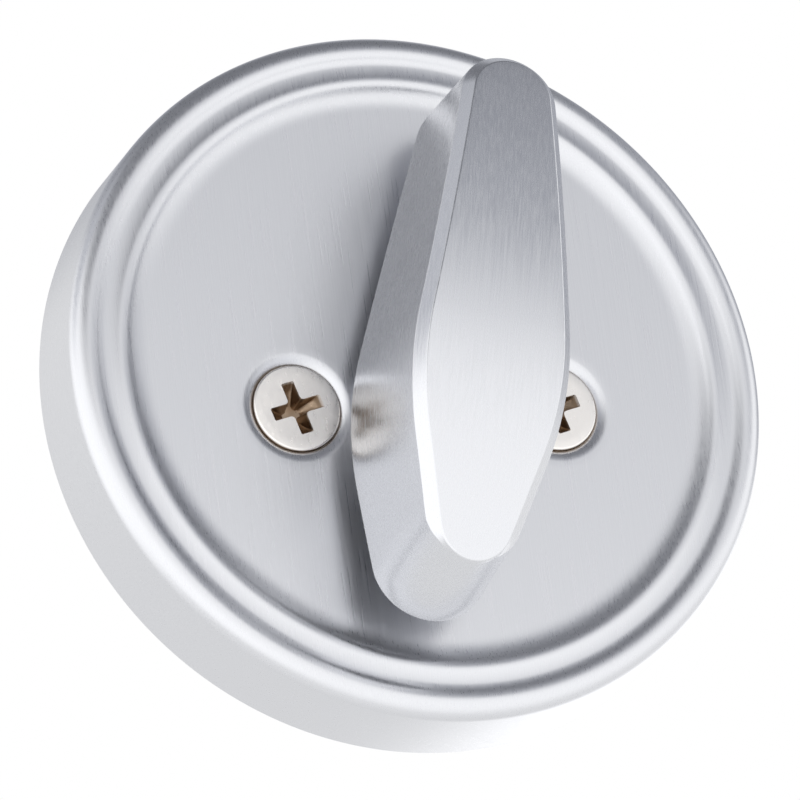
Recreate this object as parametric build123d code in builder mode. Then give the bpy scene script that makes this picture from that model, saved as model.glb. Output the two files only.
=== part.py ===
from build123d import *
import os
from math import cos, radians, sin, tan

# Interior thumbturn trim of a single cylinder deadbolt, in millimetres.
# The door face is the plane y = 0 and the front looks along -Y, with +Z up.
# The origin is the spindle axis on the door face. Heights are measured forward from the door.

# Rose: a pressed sheet cup with a double bead round its flat field
rose_diameter = 67.2
rose_wall_draft = 0.25
rose_height = 10.1
rose_sheet = 1.0
rose_rise = 3.6
field_inset = 6.8
field_drop = 0.75
inner_bead_inset = 5.15
inner_bead_drop = 0.15
inner_bead_tip_radius = 0.35
outer_roll_radius = 1.7
outer_bead_slope = 25.0

# Screws: flat heads seated in coined dimples of the rose
screw_spacing = 25.0
screw_diameter = 4.0
screw_neck_diameter = 3.5
screw_neck_length = 8.0
screw_length = 38.1
screw_head_diameter = 8.2
screw_head_land = 0.45
screw_head_angle = 82.0
screw_head_sink = 0.12
screw_tip_chamfer = 0.6
screw_hole_clearance = 0.35
recess_width = 4.8
recess_arm = 1.15
recess_depth = 2.0
recess_taper = 10.0
recess_turn = 16.0

# Dimples that take the screw heads
dimple_shoulder = 1.4
dimple_edge_radius = 1.6
dimple_land = 0.7
dimple_floor = 0.75

# Thumbturn: a drafted finger piece, widest near its axis and round at both ends
turn_tilt = 12.8
turn_top_reach = 28.4
turn_bottom_reach = 21.9
turn_top_radius = 4.45
turn_bottom_radius = 4.7
turn_belly_width = 15.3
turn_belly_drop = 4.6
turn_belly_radius = 34.0
turn_rear_flare_belly = 1.25
turn_rear_flare_top = 0.35
turn_rear_flare_bottom = 0.8
turn_front_height = 28.1
turn_rear_height = 12.3
turn_front_crown_radius = 144.0
turn_rear_crown_radius = 244.0
turn_chamfer_width = 0.8
turn_chamfer_depth = 1.1

# Neck, shaft and the socket for the cylinder's tailpiece
neck_diameter = 12.0
neck_flare = 0.8
shaft_diameter = 9.0
shaft_reach = 5.0
shaft_end_chamfer = 0.4
socket_width = 2.4
socket_length = 7.0
socket_depth = 13.0

# Bush, backing plate and the washers that hold the thumbturn in
running_clearance = 0.05
seating_clearance = 0.02
bush_wall = 0.7
bush_flange_thickness = 0.8
bush_flange_diameter = 12.4
plate_sheet = 1.2
plate_edge_clearance = 0.25
plate_flange_width = 4.5
plate_wall_run = 5.0
plate_bend_radius = 0.8
washer_clearance = 0.2
washer_diameter = 14.0
spring_sheet = 0.4
spring_height = 1.1
thrust_washer_thickness = 0.6
ring_thickness = 0.8
ring_diameter = 12.6
ring_band = 1.6
ring_prong_width = 2.4
groove_depth = 0.6
groove_clearance = 0.05

# Values that follow from the sizes above
rose_radius = rose_diameter / 2
front_radius = rose_radius - rose_wall_draft
field_height = rose_height - field_drop
screw_x = screw_spacing / 2
screw_hole_radius = screw_diameter / 2 + screw_hole_clearance
head_radius = screw_head_diameter / 2
head_top = field_height - screw_head_sink
head_slope = 1 / tan(radians(screw_head_angle / 2))
seat_height = head_top - screw_head_land - (head_radius - screw_hole_radius) * head_slope - seating_clearance
cone_top_radius = screw_hole_radius + (field_height - seat_height) / head_slope
dimple_radius = cone_top_radius + dimple_shoulder
under_bend_radius = cone_top_radius + rose_sheet * tan(radians(45 - screw_head_angle / 4))
dimple_bottom = seat_height - dimple_floor
neck_radius = neck_diameter / 2
shaft_radius = shaft_diameter / 2
bush_bore_radius = shaft_radius + running_clearance
bush_radius = bush_bore_radius + bush_wall
bush_hole_radius = bush_radius + running_clearance
bush_flange_top = field_height + bush_flange_thickness
plate_front = dimple_bottom
plate_back = plate_front - plate_sheet
plate_radius = rose_radius - rose_sheet - plate_edge_clearance
plate_wall_foot = plate_radius - plate_flange_width
plate_wall_head = plate_wall_foot - plate_wall_run
spring_top = plate_back - seating_clearance
spring_bottom = spring_top - spring_height
thrust_top = spring_bottom - seating_clearance
thrust_bottom = thrust_top - thrust_washer_thickness
ring_top = thrust_bottom - seating_clearance
ring_bottom = ring_top - ring_thickness
washer_bore_radius = shaft_radius + washer_clearance
groove_radius = shaft_radius - groove_depth
turn_mid = (turn_top_reach - turn_bottom_reach) / 2
turn_span = turn_top_reach + turn_bottom_reach

tilt_sin = sin(radians(turn_tilt))
tilt_cos = cos(radians(turn_tilt))
front_plane = Plane(origin=(0, 0, 0), x_dir=(1, 0, 0), z_dir=(0, -1, 0))
turn_plane = Plane(origin=(0, 0, 0), x_dir=(tilt_cos, 0, -tilt_sin), z_dir=(0, -1, 0))
turn_side = Plane(origin=(0, 0, 0), x_dir=(tilt_sin, 0, tilt_cos), z_dir=(tilt_cos, 0, -tilt_sin))


def section(x=0.0, z=0.0):
    """Plane through an axis at x, z: sketch x is the radius, sketch y the height from the door."""
    return Plane(origin=(x, 0, z), x_dir=(1, 0, 0), z_dir=(0, 0, -1))


def forward_axis(x=0.0, z=0.0):
    return Axis((x, 0, z), (0, -1, 0))


def corner(sketch, radius, height):
    """The vertex of a sketch nearest to a point on its plane."""
    return sketch.vertices().sort_by_distance((radius, height, 0))[0]


# Rose: the pressed section is turned about its own axis, which stands above the spindle
slope_sin = sin(radians(outer_bead_slope))
slope_cos = cos(radians(outer_bead_slope))
field_edge = (rose_radius - field_inset, field_height)
bead_inner = (rose_radius - inner_bead_inset, rose_height - inner_bead_drop)
roll_crest = (front_radius - outer_roll_radius, rose_height)
roll_foot = (front_radius, rose_height - outer_roll_radius)
roll_start = (roll_crest[0] - outer_roll_radius * slope_sin, roll_foot[1] + outer_roll_radius * slope_cos)
under_field = (field_edge[0], field_height - rose_sheet)
under_inner = (bead_inner[0], bead_inner[1] - rose_sheet)
under_corner = (front_radius - rose_sheet, rose_height - rose_sheet)

with BuildPart() as rose:
    with BuildSketch(section(z=rose_rise)) as pressed_sheet:
        with BuildLine():
            Polyline((0, under_field[1]), (0, field_height), field_edge)
            TangentArc(field_edge, bead_inner, tangent=(1, 0))
            TangentArc(roll_start, bead_inner, tangent=(-slope_cos, -slope_sin))
            ThreePointArc(roll_start, roll_crest, roll_foot)
            Polyline(roll_foot, (rose_radius, 0), (rose_radius - rose_sheet, 0), under_corner)
            Polyline(under_corner, under_inner, under_field, (0, under_field[1]))
        make_face()
        fillet(corner(pressed_sheet, *bead_inner), inner_bead_tip_radius)
    revolve(axis=forward_axis(z=rose_rise))
    with BuildSketch(front_plane):
        Circle(bush_hole_radius)
        with Locations((-screw_x, 0), (screw_x, 0)):
            Circle(dimple_radius)
    extrude(amount=rose_height, mode=Mode.SUBTRACT)
    for x in (-screw_x, screw_x):
        with BuildSketch(section(x=x)) as dimple:
            with BuildLine():
                Polyline(
                    (screw_hole_radius, dimple_bottom),
                    (screw_hole_radius, seat_height),
                    (cone_top_radius, field_height),
                    (dimple_radius, field_height),
                    (dimple_radius, field_height - rose_sheet),
                    (under_bend_radius, field_height - rose_sheet),
                    (screw_hole_radius + dimple_land, dimple_bottom),
                    close=True,
                )
            make_face()
            fillet(corner(dimple, cone_top_radius, field_height), dimple_edge_radius)
        revolve(axis=forward_axis(x=x))
rose.part.label = "rose"

# Backing plate: a pressed dish, its flange on the door and its platform under the dimples
with BuildPart() as backing_plate:
    with BuildSketch(section(z=rose_rise)) as pressed_dish:
        with BuildLine():
            Polyline(
                (0, plate_back),
                (0, plate_front),
                (plate_wall_head, plate_front),
                (plate_wall_foot, plate_sheet),
                (plate_radius, plate_sheet),
                (plate_radius, 0),
                (plate_wall_foot - plate_sheet / 2, 0),
                (plate_wall_head - plate_sheet / 2, plate_back),
                close=True,
            )
        make_face()
        fillet(corner(pressed_dish, plate_wall_head - plate_sheet / 2, plate_back), plate_bend_radius)
        fillet(corner(pressed_dish, plate_wall_foot - plate_sheet / 2, 0), plate_bend_radius)
    revolve(axis=forward_axis(z=rose_rise))
    with BuildSketch(front_plane):
        Circle(bush_hole_radius)
        with Locations((-screw_x, 0), (screw_x, 0)):
            Circle(screw_hole_radius)
    extrude(amount=rose_height, mode=Mode.SUBTRACT)
backing_plate.part.label = "backing_plate"

# Spindle bush: its flange lies on the field and its sleeve lines the rose and the plate
with BuildPart() as spindle_bush:
    with BuildSketch(section()):
        with BuildLine():
            Polyline(
                (bush_bore_radius, plate_back),
                (bush_bore_radius, bush_flange_top),
                (bush_flange_diameter / 2, bush_flange_top),
                (bush_flange_diameter / 2, field_height),
                (bush_radius, field_height),
                (bush_radius, plate_back),
                close=True,
            )
        make_face()
    revolve(axis=forward_axis())
spindle_bush.part.label = "spindle_bush"


def finger_outline(plane, flare_belly, flare_top, flare_bottom):
    """Outline of the finger piece: two end circles and a belly point each side, wrapped tight."""
    belly = turn_belly_width / 2 + flare_belly
    top_radius = turn_top_radius + flare_top
    bottom_radius = turn_bottom_radius + flare_bottom
    with BuildSketch(plane) as outline:
        with BuildLine(mode=Mode.PRIVATE) as belly_line:
            Line((-belly, -turn_belly_drop), (belly, -turn_belly_drop))
        with BuildLine(mode=Mode.PRIVATE) as end_circles:
            CenterArc((0, turn_top_reach - turn_top_radius), top_radius, 0, 360)
            CenterArc((0, turn_bottom_radius - turn_bottom_reach), bottom_radius, 0, 360)
        make_hull(belly_line.edges() + end_circles.edges())
        for side in (-belly, belly):
            fillet(corner(outline, side, -turn_belly_drop), turn_belly_radius)
    return outline.sketch


# Thumbturn: drafted between two outlines, crowned front and rear, with its neck and shaft
rear_flares = (turn_rear_flare_belly, turn_rear_flare_top, turn_rear_flare_bottom)
rear_outline = finger_outline(turn_plane.offset(turn_rear_height), *rear_flares)
front_outline = finger_outline(turn_plane.offset(turn_front_height), 0, 0, 0)

with BuildPart() as thumbturn:
    loft([rear_outline, front_outline], ruled=True)
    with BuildSketch(turn_side):
        with Locations((turn_mid, turn_front_height - turn_front_crown_radius)):
            Circle(turn_front_crown_radius)
        with Locations((turn_mid, turn_rear_height + turn_rear_crown_radius)):
            Circle(turn_rear_crown_radius, mode=Mode.INTERSECT)
    extrude(amount=turn_span, both=True, mode=Mode.INTERSECT)
    front_face = thumbturn.faces().sort_by(forward_axis())[-1]
    chamfer(front_face.edges(), turn_chamfer_depth, turn_chamfer_width)
    with BuildSketch(section()) as shaft:
        with BuildLine():
            Polyline(
                (0, -shaft_reach),
                (0, turn_rear_height + turn_chamfer_depth),
                (neck_radius + neck_flare, turn_rear_height + turn_chamfer_depth),
                (neck_radius + neck_flare, turn_rear_height),
                (neck_radius, turn_rear_height - neck_flare),
                (neck_radius, bush_flange_top),
                (shaft_radius, bush_flange_top),
                (shaft_radius, ring_top + groove_clearance / 2),
                (groove_radius, ring_top + groove_clearance / 2),
                (groove_radius, ring_bottom - groove_clearance / 2),
                (shaft_radius, ring_bottom - groove_clearance / 2),
                (shaft_radius, -shaft_reach),
                close=True,
            )
        make_face()
        chamfer(corner(shaft, shaft_radius, -shaft_reach), shaft_end_chamfer)
    revolve(axis=forward_axis())
    with BuildSketch(turn_plane.offset(-shaft_reach)):
        SlotOverall(socket_length, socket_width, rotation=90)
    extrude(amount=socket_depth, mode=Mode.SUBTRACT)
thumbturn.part.label = "thumbturn"

# Spring washer: a flat ring bowed about one diameter, between the plate and the thrust washer
spring_rise = spring_height - spring_sheet
spring_bow_radius = ((washer_diameter / 2) ** 2 + spring_rise**2) / (2 * spring_rise)
with BuildPart() as spring_washer:
    with BuildSketch(section()) as bowed_sheet:
        with Locations((0, spring_bottom + spring_sheet + spring_bow_radius)):
            Circle(spring_bow_radius + spring_sheet)
            Circle(spring_bow_radius, mode=Mode.SUBTRACT)
        with Locations((0, spring_bottom)):
            Rectangle(washer_diameter, spring_height, align=(Align.CENTER, Align.MIN), mode=Mode.INTERSECT)
    extrude(amount=washer_diameter / 2, both=True)
    with BuildSketch(front_plane):
        Circle(washer_diameter / 2)
        Circle(washer_bore_radius, mode=Mode.SUBTRACT)
    extrude(amount=rose_height, mode=Mode.INTERSECT)
spring_washer.part.label = "spring_washer"

# Thrust washer: the flat face that the ring turns on
with BuildPart() as thrust_washer:
    with BuildSketch(front_plane.offset(thrust_bottom)):
        Circle(washer_diameter / 2)
        Circle(washer_bore_radius, mode=Mode.SUBTRACT)
    extrude(amount=thrust_washer_thickness)
thrust_washer.part.label = "thrust_washer"

# Retaining ring: an open band with three prongs that reach into the shaft's groove
ring_inner_radius = ring_diameter / 2 - ring_band
prong_tip_radius = groove_radius + groove_clearance
with BuildPart() as retaining_ring:
    with BuildSketch(turn_plane.offset(ring_bottom)):
        Circle(ring_diameter / 2)
        Circle(ring_inner_radius, mode=Mode.SUBTRACT)
        with PolarLocations(ring_inner_radius, 3, start_angle=-30):
            Rectangle(ring_band, ring_prong_width)
        Circle(prong_tip_radius, mode=Mode.SUBTRACT)
        with Locations((0, -ring_diameter / 2)):
            Rectangle(2 * groove_radius, ring_diameter, mode=Mode.SUBTRACT)
    extrude(amount=ring_thickness)
retaining_ring.part.label = "retaining_ring"

# Mounting screws: a flat head, a plain neck and a thread drawn as its outer cylinder
screw_neck_radius = screw_neck_diameter / 2
thread_radius = screw_diameter / 2
thread_top = head_top - screw_neck_length
screw_tip = head_top - screw_length
head_bottom = head_top - screw_head_land - (head_radius - screw_neck_radius) * head_slope
with BuildPart() as mounting_screws:
    for x in (-screw_x, screw_x):
        with BuildSketch(section(x=x)) as screw:
            with BuildLine():
                Polyline(
                    (0, screw_tip),
                    (0, head_top),
                    (head_radius, head_top),
                    (head_radius, head_top - screw_head_land),
                    (screw_neck_radius, head_bottom),
                    (screw_neck_radius, thread_top),
                    (thread_radius, thread_top),
                    (thread_radius, screw_tip),
                    close=True,
                )
            make_face()
            chamfer(corner(screw, thread_radius, screw_tip), screw_tip_chamfer)
        revolve(axis=forward_axis(x=x))
    with BuildSketch(front_plane.offset(head_top)):
        with Locations(Location((-screw_x, 0), recess_turn), Location((screw_x, 0), recess_turn)):
            Rectangle(recess_width, recess_arm)
            Rectangle(recess_arm, recess_width)
    extrude(amount=-recess_depth, taper=recess_taper, mode=Mode.SUBTRACT)
mounting_screws.part.label = "mounting_screws"

pieces = (
    rose,
    backing_plate,
    spindle_bush,
    thumbturn,
    spring_washer,
    thrust_washer,
    retaining_ring,
    mounting_screws,
)
os.makedirs("parts", exist_ok=True)
for piece in pieces:
    export_step(piece.part, f"parts/{piece.part.label}.step")
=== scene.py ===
# %% [markdown]
# # A deadbolt's inside trim: rose, thumbturn and two screws
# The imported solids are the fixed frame: they give every piece its place and its main sizes.
# The pieces that show are built again here with the soft edges, thread and brushed metal
# that a solid model leaves out, and each one rides on the body that its solid belongs to.

# %% Load the frame
from math import atan2, cos, pi, radians, sin, sqrt, tan

import bmesh
import bpy
from mathutils import Matrix, Vector


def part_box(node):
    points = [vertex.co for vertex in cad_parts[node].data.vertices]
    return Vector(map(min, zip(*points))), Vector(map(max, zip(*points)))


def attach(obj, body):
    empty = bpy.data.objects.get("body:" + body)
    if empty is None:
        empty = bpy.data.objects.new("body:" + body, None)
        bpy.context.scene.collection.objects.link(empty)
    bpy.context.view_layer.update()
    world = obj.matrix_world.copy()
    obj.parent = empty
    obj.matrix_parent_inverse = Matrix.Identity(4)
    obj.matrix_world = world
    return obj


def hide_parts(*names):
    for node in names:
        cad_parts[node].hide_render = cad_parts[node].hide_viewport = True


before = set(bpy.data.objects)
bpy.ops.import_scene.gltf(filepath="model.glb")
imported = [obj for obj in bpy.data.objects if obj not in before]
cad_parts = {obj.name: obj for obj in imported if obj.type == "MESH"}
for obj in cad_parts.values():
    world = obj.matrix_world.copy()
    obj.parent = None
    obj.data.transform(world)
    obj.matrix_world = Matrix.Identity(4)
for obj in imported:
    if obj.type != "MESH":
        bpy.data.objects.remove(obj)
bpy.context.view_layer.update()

# %% [markdown]
# ## One way to write a place
# The door face is the plane y = 0 and the front looks along -Y. Sections of turned and pressed
# pieces are drawn as pairs of radius and height forward of the door, in millimetres, because that
# is how they would stand in a workshop drawing. One function turns such a place into metres.

# %% Millimetres, heights and the sizes that the frame gives
MM = 0.001


def at(x, z, height):
    """A point of the part in metres, from millimetres across, up and forward of the door."""
    return Vector((x * MM, -height * MM, z * MM))


def span(node):
    """A node's box in millimetres: lowest and highest x and z, and its rear and front height."""
    low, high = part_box(node)
    return {
        "left": low.x / MM,
        "right": high.x / MM,
        "bottom": low.z / MM,
        "top": high.z / MM,
        "rear": -high.y / MM,
        "front": -low.y / MM,
    }


rose_box = span("rose")
plate_box = span("backing_plate")
bush_box = span("spindle_bush")
turn_box = span("thumbturn")
ring_box = span("retaining_ring")
thrust_box = span("thrust_washer")
spring_box = span("spring_washer")
screw_box = span("mounting_screws")

rose_radius = (rose_box["right"] - rose_box["left"]) / 2
rose_rise = (rose_box["top"] + rose_box["bottom"]) / 2
rose_height = rose_box["front"]
print(f"rose {2 * rose_radius:.1f} mm across, its centre {rose_rise:.1f} mm above the spindle")

# %% [markdown]
# ## Sections and shells
# A turned or pressed piece is one closed section swept round its axis. A curve with a Screw
# modifier would do it too, but here some sections meet a flat field with holes, so the rings are
# made directly and the field is filled between them. Every shell closes on itself.


# %% Helpers for sections
def arc(centre, radius, start, end, steps):
    """Points on an arc in a section, with its angles in radians."""
    turns = [start + (end - start) * i / steps for i in range(steps + 1)]
    return [Vector((centre[0] + radius * cos(t), centre[1] + radius * sin(t))) for t in turns]


def rounded(corners, steps=6, closed=False):
    """A run of (x, y, radius) corners as points, each corner eased by its own radius."""
    points = []
    count = len(corners)
    for i, (x, y, radius) in enumerate(corners):
        here = Vector((x, y))
        if radius == 0 or (not closed and i in (0, count - 1)):
            points.append(here)
            continue
        before = (Vector(corners[i - 1][:2]) - here).normalized()
        after = (Vector(corners[(i + 1) % count][:2]) - here).normalized()
        half = before.angle(after) / 2
        centre = here + (before + after).normalized() * radius / sin(half)
        start = here + before * radius / tan(half) - centre
        end = here + after * radius / tan(half) - centre
        for step in range(steps + 1):
            points.append(centre + start.lerp(end, step / steps).normalized() * radius)
    return points


def eased(points, tip, reach, steps=10):
    """The same run with its sharp corner at tip replaced by a soft curve that starts reach away."""
    place = min(range(len(points)), key=lambda i: (points[i] - tip).length)
    before = [p for p in points[:place] if (p - tip).length > reach]
    after = [p for p in points[place:] if (p - tip).length > reach]
    curve = []
    for step in range(1, steps):
        t = step / steps
        curve.append(before[-1] * (1 - t) ** 2 + tip * 2 * t * (1 - t) + after[0] * t**2)
    return before + curve + after


# %% Helpers for shells
def bridge(mesh, one, other):
    """Quads between two rings of the same count."""
    for i in range(len(one)):
        j = (i + 1) % len(one)
        mesh.faces.new((one[i], one[j], other[j], other[i]))


def lathe(mesh, section, centre, segments, closed=False):
    """Turns a section of (radius, height) points about the axis at centre, and returns its rings."""
    rings = []
    for radius, height in section:
        ring = []
        for i in range(segments):
            t = 2 * pi * i / segments
            place = at(centre[0] + radius * cos(t), centre[1] + radius * sin(t), height)
            ring.append(mesh.verts.new(place))
        rings.append(ring)
    for one, other in zip(rings, rings[1:]):
        bridge(mesh, one, other)
    if closed:
        bridge(mesh, rings[-1], rings[0])
    return rings


def fill(mesh, *loops):
    """Triangles over a flat area: the first loop is its outline and the others are its holes."""
    edges = []
    for loop in loops:
        for i in range(len(loop)):
            pair = (loop[i], loop[(i + 1) % len(loop)])
            edges.append(mesh.edges.get(pair) or mesh.edges.new(pair))
    bmesh.ops.triangle_fill(mesh, use_beauty=True, use_dissolve=False, edges=edges)


def shell(name, mesh, sharp_degrees=35):
    """Closes a bmesh into an object, with its faces outwards and its soft edges smooth."""
    bmesh.ops.remove_doubles(mesh, verts=mesh.verts, dist=1e-7)
    bmesh.ops.recalc_face_normals(mesh, faces=mesh.faces)
    open_edges = sum(1 for edge in mesh.edges if len(edge.link_faces) != 2)
    data = bpy.data.meshes.new(name)
    mesh.to_mesh(data)
    mesh.free()
    data.shade_smooth()
    data.set_sharp_from_angle(angle=radians(sharp_degrees))
    piece = bpy.data.objects.new(name, data)
    bpy.context.scene.collection.objects.link(piece)
    print(name, len(data.polygons), "faces,", open_edges, "open edges")
    return piece


# %% [markdown]
# ## The rose
# The real one is a cup pressed from sheet: a flat field, a small bead, a valley, a larger bead and
# a rolled edge that runs into the wall. Its highlights follow those curves, so the section is drawn
# with true arcs and eased tips. A subdivided cylinder could not keep the two beads this crisp.
# The field stays flat, and a narrow flat band next to each curve keeps its shading even.

# %% Rose section
sheet = 1.0
wall_draft = 0.25
field_inset, field_drop = 7.9, 0.75
inner_bead_inset, inner_bead_drop = 5.15, 0.08
valley_inset, valley_drop = 3.45, 0.32
outer_bead_inset = 1.9
bead_ease = 0.65
rim_ease = 0.2
roll_inside = 0.3
bead_inside = 0.6
flat_band = 0.35
cove_power, cove_steps = 3.0, 28
slope_power, slope_steps = 2, 20
bend_steps = 12
roll_steps = 24

field_radius = rose_radius - field_inset
field_height = rose_height - field_drop
inner_bead = Vector((rose_radius - inner_bead_inset, rose_height - inner_bead_drop))
valley = Vector((rose_radius - valley_inset, rose_height - valley_drop))
outer_bead = Vector((rose_radius - outer_bead_inset, rose_height))


def steepening(low, high, power, steps):
    """Points from low, where the run is level, to high, steeper with a power of the distance."""
    reach = high - low
    shares = [i / steps for i in range(steps + 1)]
    return [low + Vector((reach.x * t, reach.y * t**power)) for t in shares]


field_edge = Vector((field_radius, field_height))
cove = steepening(field_edge, inner_bead, cove_power, cove_steps)
inner_slope = steepening(valley, inner_bead, slope_power, slope_steps)[::-1]
rise = outer_bead - valley
bend = 2 * atan2(rise.y, rise.x)
bend_radius = rise.x / (2 * sin(bend))
hollow_centre = (valley.x, valley.y + bend_radius)
hollow = arc(hollow_centre, bend_radius, -pi / 2, bend - pi / 2, bend_steps)
crest_centre = (outer_bead.x, outer_bead.y - bend_radius)
crest = arc(crest_centre, bend_radius, pi / 2 + bend, pi / 2, bend_steps)
roll_radius = rose_radius - wall_draft - outer_bead.x
roll = arc((outer_bead.x, outer_bead.y - roll_radius), roll_radius, pi / 2, 0, roll_steps)
front_run = cove[:-1] + inner_slope[:-1] + hollow[:-1] + crest[:-1] + roll
front_run = eased(front_run, inner_bead, bead_ease)
rim_run = rounded([
    (*front_run[-1], 0),
    (rose_radius, 0, rim_ease),
    (rose_radius - sheet, 0, rim_ease),
    (rose_radius - wall_draft - sheet, rose_height - sheet, roll_inside),
    (inner_bead.x, inner_bead.y - sheet, bead_inside),
    (field_radius, field_height - sheet, 0),
])
rose_section = [Vector((field_radius - flat_band, field_height))] + front_run + rim_run[1:]
rose_section.append(Vector((field_radius - flat_band, field_height - sheet)))
print("rose section of", len(rose_section), "points, bend radius", round(bend_radius, 2))

# %% [markdown]
# Each screw sits in a dimple that the press coins into the field: a cone that takes the screw's head
# and meets the field in a soft round. It is a small section turned about the screw's own axis, and
# its first and last rings are holes in the field.

# %% Dimples and the finished rose
head_radius = 4.1
head_top = screw_box["front"]
head_land = 0.45
head_angle = radians(82)
head_slope = 1 / tan(head_angle / 2)
screw_x = screw_box["right"] - head_radius
screw_hole = 2.35
seat_play = 0.02
seat_height = head_top - head_land - (head_radius - screw_hole) * head_slope - seat_play
cone_top = screw_hole + (field_height - seat_height) / head_slope
under_bend = cone_top + sheet * tan((pi - head_angle) / 4)
dimple_lip = 1.4
dimple_round = 1.6
dimple_radius = cone_top + dimple_lip
dimple_bottom = plate_box["front"]
dimple_foot = 0.7
spindle_hole = 5.3
punched = 0.1
rose_segments = 288
hole_segments = 112

dimple_section = rounded([
    (dimple_radius + flat_band, field_height, 0),
    (dimple_radius, field_height, 0),
    (cone_top, field_height, dimple_round),
    (screw_hole, seat_height, 0.15),
    (screw_hole, dimple_bottom, punched),
    (screw_hole + dimple_foot, dimple_bottom, 0.3),
    (under_bend, field_height - sheet, dimple_round - sheet),
    (dimple_radius + flat_band, field_height - sheet, 0),
], steps=8)
bore_section = rounded([
    (spindle_hole + flat_band, field_height, 0),
    (spindle_hole, field_height, punched),
    (spindle_hole, field_height - sheet, punched),
    (spindle_hole + flat_band, field_height - sheet, 0),
])

mesh = bmesh.new()
outer_rings = lathe(mesh, rose_section, (0, rose_rise), rose_segments)
hole_rings = [
    lathe(mesh, dimple_section, (-screw_x, 0), hole_segments),
    lathe(mesh, dimple_section, (screw_x, 0), hole_segments),
    lathe(mesh, bore_section, (0, 0), hole_segments),
]
fill(mesh, outer_rings[0], *[rings[0] for rings in hole_rings])
fill(mesh, outer_rings[-1], *[rings[-1] for rings in hole_rings])
rose = shell("rose_shell", mesh)

# %% [markdown]
# ## The thumbturn
# A solid casting, tapered towards its front so that it leaves its mould, widest below the spindle,
# and crowned a little along its length. Its outline is two end circles joined by tangents to a soft
# belly. Rings of that outline, each at its own height and inset, make the wall, the bevel and the
# edges, and rungs from side to side make the crowned face, so that it reflects in one clean sweep.

# %% Thumbturn outline
lean = radians(12.8)
top_reach = 28.4
bottom_reach = 21.9
top_end = 4.45
bottom_end = 3.95
rear_bottom_end = 5.5
belly = 7.65
belly_drop = 4.6
belly_round = 34.0
draft_belly = 1.25
draft_top = 0.35
draft_bottom = 0.8
turn_front = turn_box["front"]
turn_rear = 12.3
front_crown = 144.0
rear_crown = 244.0
turn_mid = (top_reach - bottom_reach) / 2
end_steps, upper_steps, belly_steps, lower_steps = 20, 14, 16, 10


def touch(point, centre, radius, side):
    """Where a tangent from a point meets a circle, on the side that looks away from the middle."""
    away = centre - point
    reach = sqrt(away.length_squared - radius**2)
    swing = side * atan2(radius, reach)
    ahead = away.normalized()
    ahead.rotate(Matrix.Rotation(swing, 2))
    return point + ahead * reach


def spaced(start, end, steps):
    """Even points from start to end, with the end left out."""
    return [start.lerp(end, i / steps) for i in range(steps)]


def right_side(belly_width, top_radius, bottom_radius, reach):
    """The outline's right half, from the top end to the bottom end, as (across, along) points."""
    top = Vector((0, top_reach - top_end))
    bottom = Vector((0, bottom_radius - reach))
    side = Vector((belly_width, -belly_drop))
    upper = touch(side, top, top_radius, -1)
    lower = touch(side, bottom, bottom_radius, 1)
    upper_turn = atan2(upper.y - top.y, upper.x)
    lower_turn = atan2(lower.y - bottom.y, lower.x)
    bend = rounded([(*upper, 0), (*side, belly_round), (*lower, 0)], steps=belly_steps)[1:-1]
    points = arc(top, top_radius, pi / 2, upper_turn, end_steps)[:-1]
    points += spaced(upper, bend[0], upper_steps)
    points += bend
    points += spaced(bend[-1], lower, lower_steps)[1:]
    points += arc(bottom, bottom_radius, lower_turn, -pi / 2, end_steps)
    return points


def whole(half):
    """The closed outline from its right half."""
    return half + [Vector((-p.x, p.y)) for p in half[-2:0:-1]]


front_outline = whole(right_side(belly, top_end, bottom_end, bottom_reach))
rear_outline = whole(
    right_side(belly + draft_belly, top_end + draft_top, rear_bottom_end, bottom_reach + draft_bottom)
)
rung_count = len(front_outline) // 2
print("outline of", len(front_outline), "points")


# %% Thumbturn heights and rings
def crown_height(along, height, radius):
    """Height of a crowned face at a place along the thumbturn; a negative radius hollows it."""
    off = along - turn_mid
    fall = abs(radius) - sqrt(radius**2 - off**2)
    return height - fall if radius > 0 else height + fall


def turn_place(across, along, height):
    """A point from the thumbturn's own length and width, which lean with it."""
    x = across * cos(lean) + along * sin(lean)
    z = along * cos(lean) - across * sin(lean)
    return at(x, z, height)


def inward(outline, i):
    """The outline's inward direction at a point."""
    along = outline[(i + 1) % len(outline)] - outline[i - 1]
    return Vector((along.y, -along.x)).normalized()


def bevel_share(along):
    """How much of the front bevel is left at a place along the thumbturn: none at its bottom tip."""
    t = min(1.0, max(0.0, (along + bottom_reach - bevel_end) / bevel_fade))
    return t * t * (3 - 2 * t)


def wall_ring(full, tip, from_front=True):
    """The ring that an (inset, drop) pair gives: tip at the bottom end, and full elsewhere."""
    ring = []
    for i, (front, rear) in enumerate(zip(front_outline, rear_outline)):
        inset, drop = tip.lerp(full, bevel_share(front.y))
        place = front
        # The height follows the place and the place follows the height: a few rounds settle both
        for _ in range(settling_rounds):
            if from_front:
                height = crown_height(place.y, turn_front, front_crown) - drop
            else:
                height = crown_height(place.y, turn_rear, -rear_crown) + drop
            share = (height - turn_rear) / (turn_front - turn_rear)
            place = rear.lerp(front, share) + inward(front_outline, i) * inset
        ring.append((place, height))
    return ring


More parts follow.
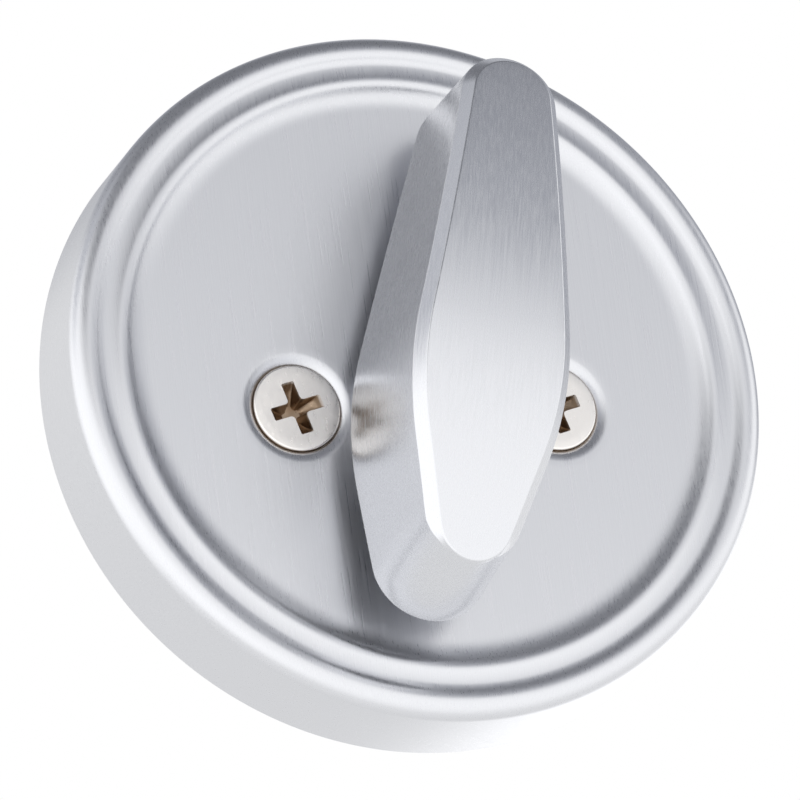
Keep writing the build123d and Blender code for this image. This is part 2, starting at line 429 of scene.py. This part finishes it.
settling_rounds = 3
bevel_end = 0.8
bevel_fade = 3.4
bevel_inset, bevel_drop = 0.85, 1.1
bevel_start = 3.2
tip_foot_inset = 0.68
tip_inset, tip_drop = 0.8, 0.6
face_band = 2.0
rear_band = 2.4
rear_round = 0.7
wall_steps = 10
edge_steps = 7
bevel_run = rounded([
    (0, bevel_start, 0),
    (0, bevel_drop, 0.3),
    (bevel_inset, 0, 0.22),
    (face_band, 0, 0),
], steps=edge_steps)
tip_run = rounded([
    (tip_foot_inset, bevel_start, 0),
    (tip_inset, tip_drop, 0.3),
    (bevel_inset, 0, 0.2),
    (face_band, 0, 0),
], steps=edge_steps)
rear_run = rounded([(rear_band, 0, 0), (0, 0, rear_round), (0, rear_band, 0)], steps=edge_steps)

rows = [wall_ring(point, point, from_front=False) for point in rear_run]
low_row = rows[-1]
high_row = wall_ring(bevel_run[0], tip_run[0])
for step in range(1, wall_steps):
    rows.append([
        (a.lerp(b, step / wall_steps), low + (high - low) * step / wall_steps)
        for (a, low), (b, high) in zip(low_row, high_row)
    ])
rows += [wall_ring(full, tip) for full, tip in zip(bevel_run, tip_run)]

mesh = bmesh.new()
turn_rings = []
for row in rows:
    turn_rings.append([mesh.verts.new(turn_place(*place, height)) for place, height in row])
for one, other in zip(turn_rings, turn_rings[1:]):
    bridge(mesh, one, other)
print("thumbturn wall of", len(turn_rings), "rings")

# %% Thumbturn face
rung_steps = 10
edge_row = rows[-1]
edge_ring = turn_rings[-1]
previous = [edge_ring[0]] * (rung_steps + 1)
for i in range(1, rung_count):
    right, left = edge_row[i][0], edge_row[-i][0]
    rung = [edge_ring[i]]
    for step in range(1, rung_steps):
        place = right.lerp(left, step / rung_steps)
        rung.append(mesh.verts.new(turn_place(*place, edge_row[i][1])))
    rung.append(edge_ring[-i])
    for step in range(rung_steps):
        corners = (previous[step], previous[step + 1], rung[step + 1], rung[step])
        mesh.faces.new(tuple(dict.fromkeys(corners)))
    previous = rung
for step in range(rung_steps):
    mesh.faces.new((previous[step], previous[step + 1], edge_ring[rung_count]))
print("face of", rung_count, "rungs with", rung_steps, "steps each")

# %% [markdown]
# Behind the face piece, the same casting carries a neck, a shaft with a groove for the ring, and a
# flat-sided socket in its end for the tailpiece of the lock's cylinder. They are rings on the
# spindle's axis, and the socket's outline is a loop that the shaft's end is filled around.

# %% Neck, shaft and socket
neck_radius = 6.0
neck_flare = 0.8
neck_segments = 96
shaft_radius = 4.5
shaft_end = turn_box["rear"]
groove_radius = 3.9
groove_play = 0.025
socket_half = 1.2
socket_straight = 2.3
socket_depth = 13.0
socket_floor = shaft_end + socket_depth
socket_steps = 16
shaft_lead = 0.4
end_band = 0.8

shaft_section = rounded([
    (neck_radius + neck_flare, turn_rear, 0),
    (neck_radius, turn_rear - neck_flare, 0.5),
    (neck_radius, bush_box["front"], 0.15),
    (shaft_radius, bush_box["front"], 0.1),
    (shaft_radius, ring_box["front"] + groove_play, 0.05),
    (groove_radius, ring_box["front"] + groove_play, 0.1),
    (groove_radius, ring_box["rear"] - groove_play, 0.1),
    (shaft_radius, ring_box["rear"] - groove_play, 0.05),
    (shaft_radius, shaft_end, shaft_lead),
    (shaft_radius - end_band, shaft_end, 0),
])
shaft_rings = lathe(mesh, shaft_section, (0, 0), neck_segments)
for vert in shaft_rings[0]:
    along = (vert.co.x * sin(lean) + vert.co.z * cos(lean)) / MM
    vert.co.y = -crown_height(along, turn_rear, -rear_crown) * MM

socket_outline = arc((0, socket_straight), socket_half, 0, pi, socket_steps)
socket_outline += arc((0, -socket_straight), socket_half, pi, 2 * pi, socket_steps)
socket_rings = []
for height in (shaft_end, socket_floor):
    socket_rings.append([mesh.verts.new(turn_place(*place, height)) for place in socket_outline])
bridge(mesh, *socket_rings)
fill(mesh, turn_rings[0], shaft_rings[0])
fill(mesh, shaft_rings[-1], socket_rings[0])
fill(mesh, socket_rings[1])
thumbturn = shell("thumbturn_casting", mesh)

# %% [markdown]
# ## The screws
# Two flat-head machine screws with a cross recess hold the trim to the outside half of the lock.
# One screw is built on the spindle's axis: a turned head, a recess that narrows as it goes down, and
# a thread whose radius rises and falls with the helix. A node tree then sets a pair of them out.

# %% One screw
thread_radius = 2.0
thread_pitch = 0.7
thread_rows = 8
thread_segments = 40
plain_length = 8.0
neck_width = 1.75
root_radius = neck_width - 0.13
flank_gain, flank_start = 1.6, 0.2
thread_top = head_top - plain_length
screw_tip = screw_box["rear"]
tip_chamfer = 0.6
head_band = 1.0
recess_turn = radians(16)
# Each level of the recess: depth below the face, length of an arm, and half its width
recess_levels = ((0.0, 2.52, 0.62), (0.5, 2.25, 0.54), (1.1, 1.75, 0.45), (2.0, 0.85, 0.32))
arm_end_ease = 0.1
arm_hollow = 0.3
hollow_share = 0.3


def cross_outline(length, half):
    """A cross with eased arm ends and a small hollow in each inner corner."""
    quarter = [
        Vector((length, half - arm_end_ease)),
        Vector((length - arm_end_ease, half)),
        Vector((half + arm_hollow, half)),
        Vector((half + arm_hollow * hollow_share, half + arm_hollow * hollow_share)),
        Vector((half, half + arm_hollow)),
        Vector((half, length - arm_end_ease)),
        Vector((half - arm_end_ease, length)),
    ]
    points = []
    for turn in range(4):
        swing = Matrix.Rotation(turn * pi / 2 + recess_turn, 2)
        points += [swing @ p for p in quarter]
    return points


def thread_point(row, i):
    """Radius at a place on the thread, which fades out at both ends."""
    height = thread_top - row * thread_pitch / thread_rows
    phase = (height / thread_pitch + i / thread_segments) % 1.0
    tooth = 1 - abs(2 * phase - 1)
    flank = min(1.0, max(0.0, flank_gain * tooth - flank_start))
    to_ends = min(thread_top - height, height - screw_tip - tip_chamfer)
    fade = min(1.0, max(0.0, to_ends / thread_pitch))
    return root_radius + (thread_radius - root_radius) * flank * fade, height


mesh = bmesh.new()
head_bottom = head_top - head_land - (head_radius - neck_width) * head_slope
head_section = rounded([
    (head_radius - head_band, head_top, 0),
    (head_radius, head_top, 0.18),
    (head_radius, head_top - head_land, 0.08),
    (neck_width, head_bottom, 0.3),
    (neck_width, thread_top, 0),
])
head_rings = lathe(mesh, head_section, (0, 0), thread_segments * 2)

recess_rings = []
for depth, arm_length, arm_half in recess_levels:
    recess_rings.append([
        mesh.verts.new(at(*place, head_top - depth)) for place in cross_outline(arm_length, arm_half)
    ])
for one, other in zip(recess_rings, recess_rings[1:]):
    bridge(mesh, one, other)
fill(mesh, head_rings[0], recess_rings[0])
fill(mesh, recess_rings[-1])

thread_count = int((thread_top - screw_tip - tip_chamfer) / thread_pitch * thread_rows)
thread_rings = []
for row in range(thread_count + 1):
    ring = []
    for i in range(thread_segments):
        radius, height = thread_point(row, i)
        t = 2 * pi * i / thread_segments
        ring.append(mesh.verts.new(at(radius * cos(t), radius * sin(t), height)))
    thread_rings.append(ring)
for one, other in zip(thread_rings, thread_rings[1:]):
    bridge(mesh, one, other)
tip_rings = lathe(mesh, [(neck_width - tip_chamfer, screw_tip)], (0, 0), thread_segments)
bridge(mesh, thread_rings[-1], tip_rings[0])
fill(mesh, tip_rings[0])
fill(mesh, head_rings[-1], thread_rings[0])
one_screw = shell("one_screw", mesh)

# %% [markdown]
# ## Materials
# The trim is satin chrome: plated metal whose last step was a brush that left fine parallel lines,
# upright on the rose and lengthwise on the thumbturn. The lines stretch a highlight across their
# direction, which reads as satin. A picture of scratches would repeat and blur, so noise stretched
# along the brush makes them, and the same lines vary colour, roughness and relief together. Real
# brush lines lie a few hundredths of a millimetre apart, too fine to show, so they are drawn coarser.


# %% Helpers for node trees
def linear(hex_colour):
    """An sRGB hex colour as linear RGBA."""
    values = [int(hex_colour[i : i + 2], 16) / 255 for i in (1, 3, 5)]
    return [v / 12.92 if v <= 0.04045 else ((v + 0.055) / 1.055) ** 2.4 for v in values] + [1.0]


def add(tree, kind, inputs=None, **settings):
    """Adds a node, sets its properties, and sets or links each input that is named."""
    made = tree.nodes.new(kind)
    for name, value in settings.items():
        setattr(made, name, value)
    for name, value in (inputs or {}).items():
        if isinstance(value, bpy.types.NodeSocket):
            tree.links.new(value, made.inputs[name])
        else:
            made.inputs[name].default_value = value
    return made


def finish_of(name):
    """An empty material with its shader and output, and its node tree."""
    material = bpy.data.materials.new(name)
    material.use_nodes = True
    tree = material.node_tree
    tree.nodes.clear()
    shader = add(tree, "ShaderNodeBsdfPrincipled")
    add(tree, "ShaderNodeOutputMaterial", {"Surface": shader.outputs["BSDF"]})
    return material, tree, shader


# %% Brushed and plated metals
def brushed(name, pale, dark, roughness, spread, line_mm, run_mm, relief_mm, lean_angle=0.0):
    """Metal with lines that run up the piece, or along lean_angle, run_mm long and line_mm apart."""
    material, tree, shader = finish_of(name)
    shader.inputs["Metallic"].default_value = 1.0
    place = add(tree, "ShaderNodeTexCoord")
    turned = add(tree, "ShaderNodeMapping", {
        "Vector": place.outputs["Object"],
        "Rotation": (0, lean_angle, 0),
    })
    stretched = add(tree, "ShaderNodeMapping", {
        "Vector": turned.outputs["Vector"],
        "Scale": (1 / (line_mm * MM), 1 / (line_mm * MM), 1 / (run_mm * MM)),
    })
    lines = add(tree, "ShaderNodeTexNoise", {
        "Vector": stretched.outputs["Vector"],
        "Scale": 1.0,
        "Detail": 2.0,
        "Roughness": 0.6,
    })
    tone = add(tree, "ShaderNodeMix", {
        "Factor": lines.outputs["Fac"],
        "A": linear(dark),
        "B": linear(pale),
    }, data_type="RGBA")
    satin = add(tree, "ShaderNodeMapRange", {
        "Value": lines.outputs["Fac"],
        "From Min": 0.3,
        "From Max": 0.7,
        "To Min": roughness - spread,
        "To Max": roughness + spread,
    })
    relief = add(tree, "ShaderNodeBump", {
        "Height": lines.outputs["Fac"],
        "Distance": relief_mm * MM,
        "Strength": 1.0,
    })
    tree.links.new(tone.outputs[2], shader.inputs["Base Color"])
    tree.links.new(satin.outputs["Result"], shader.inputs["Roughness"])
    tree.links.new(relief.outputs["Normal"], shader.inputs["Normal"])
    return material


# Satin chrome on pressed sheet: cool white metal with upright lines, soft broad reflections
satin_sheet = brushed(
    "satin_chrome_sheet", pale="#e4e5e8", dark="#d3d4d8", roughness=0.32, spread=0.06,
    line_mm=0.13, run_mm=12.0, relief_mm=0.006,
)
# Satin chrome on a casting: the same plate, brushed along the thumbturn's length
satin_casting = brushed(
    "satin_chrome_casting", pale="#e4e5e8", dark="#d3d4d8", roughness=0.26, spread=0.06,
    line_mm=0.15, run_mm=16.0, relief_mm=0.006, lean_angle=-lean,
)
# Nickel-plated screws: warmer and brighter than the chrome, with a short faint grain
nickel = brushed(
    "nickel_plated_screw", pale="#fbf8f5", dark="#efebe6", roughness=0.34, spread=0.08,
    line_mm=0.35, run_mm=0.8, relief_mm=0.004,
)
# Zinc-plated plate and washer: dull, slightly blue, rolled before it was pressed
zinc = brushed(
    "zinc_plated_steel", pale="#c9ccd0", dark="#b4b8be", roughness=0.38, spread=0.08,
    line_mm=0.4, run_mm=6.0, relief_mm=0.005,
)
# Spring steel with an oiled black finish: dark, with a dull gleam along the rolled strip
spring_steel = brushed(
    "oiled_spring_steel", pale="#6b6a69", dark="#55534f", roughness=0.34, spread=0.06,
    line_mm=0.25, run_mm=3.0, relief_mm=0.004,
)
print("metals", [m.name for m in bpy.data.materials])

# %% [markdown]
# The screws' crosses are coloured a darker brown than their plating. The depth
# below the head's face tells the two apart: the brown fades in just under the face and ends with
# the head, so it also tints the narrow gap round it.

# %% Brown in the recesses
# Two fades, each from no brown to full brown, in millimetres below the head's face
brown_tone_fades = ((0.05, 0.35), (3.2, 2.4))
tree = nickel.node_tree
shader = tree.nodes["Principled BSDF"]
plated = shader.inputs["Base Color"].links[0].from_socket
place = add(tree, "ShaderNodeTexCoord")
depth = add(tree, "ShaderNodeSeparateXYZ", {"Vector": place.outputs["Object"]}).outputs["Y"]
shares = []
for none, full in brown_tone_fades:
    shares.append(add(tree, "ShaderNodeMapRange", {
        "Value": depth,
        "From Min": (none - head_top) * MM,
        "From Max": (full - head_top) * MM,
    }, interpolation_type="SMOOTHSTEP").outputs["Result"])
# Darker brown colour over the recess and the head's sides, full between the two fades
brown_tone = add(tree, "ShaderNodeMath", {0: shares[0], 1: shares[1]}, operation="MULTIPLY")
add(tree, "ShaderNodeMix", {
    "Factor": brown_tone.outputs[0],
    "A": plated,
    "B": linear("#ab9782"),
}, data_type="RGBA", name="brown_toned")
tree.links.new(tree.nodes["brown_toned"].outputs[2], shader.inputs["Base Color"])
print("recess stain from", brown_tone_fades[0], "to", brown_tone_fades[1], "mm below the face")

# %% [markdown]
# The bush is moulded in natural nylon: off-white, half dull, with the fine grain of its mould. One
# flat colour would look like paint, so a small noise varies its tone and its relief.

# %% Moulded nylon
grain_mm = 0.3
grain_relief_mm = 0.01
nylon, tree, shader = finish_of("moulded_white_nylon")
shader.inputs["IOR"].default_value = 1.53
place = add(tree, "ShaderNodeTexCoord")
grain = add(tree, "ShaderNodeTexNoise", {
    "Vector": place.outputs["Object"],
    "Scale": 1 / (grain_mm * MM),
})
tone = add(tree, "ShaderNodeMix", {
    "Factor": grain.outputs["Fac"],
    "A": linear("#e4e1d8"),
    "B": linear("#efede6"),
}, data_type="RGBA")
relief = add(tree, "ShaderNodeBump", {
    "Height": grain.outputs["Fac"],
    "Distance": grain_relief_mm * MM,
})
tree.links.new(tone.outputs[2], shader.inputs["Base Color"])
tree.links.new(relief.outputs["Normal"], shader.inputs["Normal"])
shader.inputs["Roughness"].default_value = 0.45
print("with", nylon.name, len(bpy.data.materials), "materials")

# %% [markdown]
# ## Setting out the screws
# The node tree takes one screw and its named sizes, makes a row of points, puts a screw on each and
# realizes them, so that what leaves it is a plain mesh.

# %% Screw row
row_tree = bpy.data.node_groups.new("screw_row", "GeometryNodeTree")
row_inputs = {}
for label, kind in (
    ("Screw", "NodeSocketGeometry"),
    ("Count", "NodeSocketInt"),
    ("Spacing", "NodeSocketFloat"),
    ("Finish", "NodeSocketMaterial"),
):
    row_inputs[label] = row_tree.interface.new_socket(label, in_out="INPUT", socket_type=kind)
row_tree.interface.new_socket("Screws", in_out="OUTPUT", socket_type="NodeSocketGeometry")

given = add(row_tree, "NodeGroupInput").outputs
gaps = add(row_tree, "ShaderNodeMath", {0: given["Count"], 1: 1.0}, operation="SUBTRACT")
half_row = add(row_tree, "ShaderNodeMath", {0: gaps.outputs[0], 1: -0.5}, operation="MULTIPLY")
first = add(row_tree, "ShaderNodeMath", {
    0: half_row.outputs[0],
    1: given["Spacing"],
}, operation="MULTIPLY")
start = add(row_tree, "ShaderNodeCombineXYZ", {"X": first.outputs[0]})
step = add(row_tree, "ShaderNodeCombineXYZ", {"X": given["Spacing"]})
row = add(row_tree, "GeometryNodeMeshLine", {
    "Count": given["Count"],
    "Start Location": start.outputs[0],
    "Offset": step.outputs[0],
})
placed = add(row_tree, "GeometryNodeInstanceOnPoints", {
    "Points": row.outputs["Mesh"],
    "Instance": given["Screw"],
})
real = add(row_tree, "GeometryNodeRealizeInstances", {"Geometry": placed.outputs["Instances"]})
clad = add(row_tree, "GeometryNodeSetMaterial", {
    "Geometry": real.outputs["Geometry"],
    "Material": given["Finish"],
})
add(row_tree, "NodeGroupOutput", {"Screws": clad.outputs["Geometry"]})

setting_out = one_screw.modifiers.new("screw_row", "NODES")
setting_out.node_group = row_tree
setting_out[row_inputs["Count"].identifier] = 2
setting_out[row_inputs["Spacing"].identifier] = 2 * screw_x * MM
setting_out[row_inputs["Finish"].identifier] = nickel
made = one_screw.evaluated_get(bpy.context.evaluated_depsgraph_get())
screws = bpy.data.objects.new("mounting_screw_pair", bpy.data.meshes.new_from_object(made))
bpy.context.scene.collection.objects.link(screws)
one_screw.modifiers.remove(setting_out)
bpy.data.objects.remove(one_screw)
print("screws", len(screws.data.polygons), "faces")

# %% [markdown]
# ## The pieces behind the rose
# From behind, the trim shows a pressed plate in the rose's cup, and round the shaft a bush, a bowed
# washer, a flat washer and an open ring. They are turned sections with eased edges. The ring's own
# solid is already right, so it only gets its finish.

# %% Backing plate
plate_radius = (plate_box["right"] - plate_box["left"]) / 2
plate_front = plate_box["front"]
plate_sheet = 1.2
plate_back = plate_front - plate_sheet
flange_width = 4.5
dish_run = 5.0
platform_band = 3.0
wall_foot = plate_radius - flange_width
wall_head = wall_foot - dish_run
platform = wall_head - platform_band
inner_bend = 0.8
outer_bend = 1.4
plate_edge = 0.15
plate_segments = 192
bolt_segments = 64
ring_segments = 96
ring_edge_steps = 3

plate_section = rounded([
    (platform, plate_front, 0),
    (wall_head, plate_front, outer_bend),
    (wall_foot, plate_sheet, inner_bend),
    (plate_radius, plate_sheet, plate_edge),
    (plate_radius, 0, plate_edge),
    (wall_foot - plate_sheet / 2, 0, inner_bend),
    (wall_head - plate_sheet / 2, plate_back, inner_bend),
    (platform, plate_back, 0),
])


def plate_hole(radius):
    """Section of a punched hole in the plate's platform."""
    return rounded([
        (radius + flat_band, plate_front, 0),
        (radius, plate_front, punched),
        (radius, plate_back, punched),
        (radius + flat_band, plate_back, 0),
    ])


mesh = bmesh.new()
outer_rings = lathe(mesh, plate_section, (0, rose_rise), plate_segments)
hole_rings = [
    lathe(mesh, plate_hole(screw_hole), (-screw_x, 0), bolt_segments),
    lathe(mesh, plate_hole(screw_hole), (screw_x, 0), bolt_segments),
    lathe(mesh, plate_hole(spindle_hole), (0, 0), ring_segments),
]
fill(mesh, outer_rings[0], *[rings[0] for rings in hole_rings])
fill(mesh, outer_rings[-1], *[rings[-1] for rings in hole_rings])
plate = shell("pressed_plate", mesh)


# %% Bush and washers
def turned_ring(name, corners, bow=0.0):
    """A closed turned section as a piece; bow lifts it across x, as in a bowed washer."""
    mesh = bmesh.new()
    section = rounded(corners, steps=ring_edge_steps, closed=True)
    lathe(mesh, section, (0, 0), ring_segments, closed=True)
    for vert in mesh.verts:
        vert.co.y -= bow * vert.co.x**2
    return shell(name, mesh)


bush_bore = 4.55
bush_sleeve = 5.25
bush_flange = bush_box["right"]
bush = turned_ring("flanged_bush", [
    (bush_bore, bush_box["rear"], 0.1),
    (bush_sleeve, bush_box["rear"], 0.1),
    (bush_sleeve, field_height, 0.05),
    (bush_flange, field_height, 0.1),
    (bush_flange, bush_box["front"], 0.15),
    (bush_bore, bush_box["front"], 0.1),
])
washer_bore = 4.7
washer_radius = thrust_box["right"]
thrust = turned_ring("flat_washer", [
    (washer_bore, thrust_box["rear"], 0.08),
    (washer_radius, thrust_box["rear"], 0.12),
    (washer_radius, thrust_box["front"], 0.12),
    (washer_bore, thrust_box["front"], 0.08),
])
spring_sheet = 0.4
spring_rise = spring_box["front"] - spring_box["rear"] - spring_sheet
spring = turned_ring("bowed_washer", [
    (washer_bore, spring_box["rear"], 0.08),
    (washer_radius, spring_box["rear"], 0.08),
    (washer_radius, spring_box["rear"] + spring_sheet, 0.08),
    (washer_bore, spring_box["rear"] + spring_sheet, 0.08),
], bow=spring_rise / washer_radius**2 / MM)

# %% [markdown]
# ## Riding on the frame
# The thumbturn and its ring turn with the spindle, and everything else stays on the door. Each new
# piece takes the place of its solid in the picture, while the solid stays in the physics.

# %% Bodies, finishes and slots
for piece, body, node, slot, material in (
    (rose, "trim", "rose", "satin_chrome_sheet", satin_sheet),
    (plate, "trim", "backing_plate", "zinc_plated_steel", zinc),
    (bush, "trim", "spindle_bush", "white_nylon", nylon),
    (screws, "trim", "mounting_screws", "nickel_screw", nickel),
    (thrust, "trim", "thrust_washer", "zinc_plated_steel", zinc),
    (spring, "trim", "spring_washer", "spring_steel", spring_steel),
    (thumbturn, "turn", "thumbturn", "satin_chrome_casting", satin_casting),
):
    piece.data.materials.clear()
    piece.data.materials.append(material)
    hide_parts(node)
    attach(piece, body)
ring_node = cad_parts["retaining_ring"]
ring_node.data.materials.clear()
ring_node.data.materials.append(spring_steel)

# %% [markdown]
# ## Floor, light and camera
# Metal shows what stands round it, so the light is a white studio with a darker ceiling, and with
# brighter places in front, at both sides and behind on the right, as soft patches in the world. Lamps
# could make them too, but the metal would mirror their edges. The background is plain white to the
# camera. The floor lies well below, because the photograph looks up at the trim from the left. The
# dark ceiling would leave its paint grey, so the paint is lifted a little for the camera alone.

# %% Floor and world
floor_depth = 0.30
floor_half = 4.0
mesh = bmesh.new()
corners = [(-1, -1), (1, -1), (1, 1), (-1, 1)]
mesh.faces.new([mesh.verts.new((x * floor_half, y * floor_half, -floor_depth)) for x, y in corners])
floor_data = bpy.data.meshes.new("studio_floor")
mesh.to_mesh(floor_data)
mesh.free()
floor = bpy.data.objects.new("studio_floor", floor_data)
bpy.context.scene.collection.objects.link(floor)
floor_paint, tree, shader = finish_of("pale_floor_paint")
shader.inputs["Base Color"].default_value = linear("#ececec")
shader.inputs["Roughness"].default_value = 0.8
floor_lift = 0.36
lit = add(tree, "ShaderNodeMath", {
    0: add(tree, "ShaderNodeLightPath").outputs["Is Camera Ray"],
    1: floor_lift,
}, operation="MULTIPLY")
shader.inputs["Emission Color"].default_value = linear("#ffffff")
tree.links.new(lit.outputs[0], shader.inputs["Emission Strength"])
floor.data.materials.append(floor_paint)
floor.visible_glossy = False

# Each patch: direction, brightness, tint, and the angles where it is full and where it ends.
# A later patch lies over the earlier ones.
patches = (
    ((0.00, 1.00, 0.00), 0.92, "#ffffff", 40, 85),
    ((0.15, -0.95, -0.30), 1.29, "#ffffff", 25, 75),
    ((-0.95, -0.10, 0.15), 1.45, "#ffffff", 20, 55),
    ((0.62, 0.78, -0.05), 1.52, "#ffffff", 10, 32),
    ((-0.65, -0.72, -0.25), 1.42, "#ffffff", 18, 45),
    ((0.40, 0.00, 1.00), 0.49, "#f2f5ff", 53.7, 69.7),
    ((0.05, -0.15, 1.00), 0.24, "#f2f5ff", 24, 52),
    ((-0.12, -0.72, 0.68), 0.26, "#f2f5ff", 10, 28),
    ((0.35, 0.53, 0.77), 0.64, "#f6f8ff", 5, 15),
    ((-0.68, -0.05, 0.73), 0.68, "#f6f8ff", 8, 25),
    ((0.95, -0.22, 0.20), 1.28, "#ffffff", 10, 30),
)
world = bpy.data.worlds.new("white_studio")
bpy.context.scene.world = world
world.use_nodes = True
tree = world.node_tree
tree.nodes.clear()
ray = add(tree, "ShaderNodeTexCoord").outputs["Generated"]
white = (1.0, 1.0, 1.0, 1.0)
studio = white
for direction, brightness, tint, full, end in patches:
    facing = add(tree, "ShaderNodeVectorMath", {
        0: ray,
        1: Vector(direction).normalized(),
    }, operation="DOT_PRODUCT")
    share = add(tree, "ShaderNodeMapRange", {
        "Value": facing.outputs["Value"],
        "From Min": cos(radians(end)),
        "From Max": cos(radians(full)),
    }, interpolation_type="SMOOTHSTEP")
    studio = add(tree, "ShaderNodeMix", {
        "Factor": share.outputs["Result"],
        "A": studio,
        "B": [brightness * v for v in linear(tint)],
    }, data_type="RGBA").outputs[2]
path = add(tree, "ShaderNodeLightPath")
seen = add(tree, "ShaderNodeMath", {
    0: path.outputs["Is Camera Ray"],
    1: path.outputs["Is Transmission Ray"],
}, operation="MAXIMUM")
shown = add(tree, "ShaderNodeMix", {
    "Factor": seen.outputs[0],
    "A": studio,
    "B": white,
}, data_type="RGBA")
back = add(tree, "ShaderNodeBackground", {"Color": shown.outputs[2], "Strength": 1.0})
add(tree, "ShaderNodeOutputWorld", {"Surface": back.outputs["Background"]})
bpy.context.scene.view_settings.view_transform = "Standard"
print("world with", len(patches), "soft patches")

# %% Camera
azimuth = radians(-21.965)
elevation = radians(-19.762)
roll = radians(-7.775)
distance = 500.0
aim_across = 1.509
aim_up = 1.202
aim_behind = 1.5
sensor_mm = 36.0
lens_mm = 242.43
nearest, farthest = 0.01, 20.0
toward = Vector((sin(azimuth) * cos(elevation), -cos(azimuth) * cos(elevation), sin(elevation)))
level_right = (-toward).cross(Vector((0, 0, 1))).normalized()
level_up = level_right.cross(-toward)
right = level_right * cos(roll) + level_up * sin(roll)
up = level_up * cos(roll) - level_right * sin(roll)
camera = bpy.data.objects.new("camera", bpy.data.cameras.new("camera"))
camera.data.sensor_width = sensor_mm
camera.data.lens = lens_mm
camera.data.clip_start = nearest
camera.data.clip_end = farthest
stand = Vector((0, aim_behind, rose_rise)) + right * aim_across + up * aim_up + toward * distance
turn = Matrix((right, up, toward)).transposed().to_4x4()
camera.matrix_world = Matrix.Translation(stand * MM) @ turn
bpy.context.scene.collection.objects.link(camera)
bpy.context.scene.camera = camera
print("camera at", [round(v, 3) for v in stand * MM])
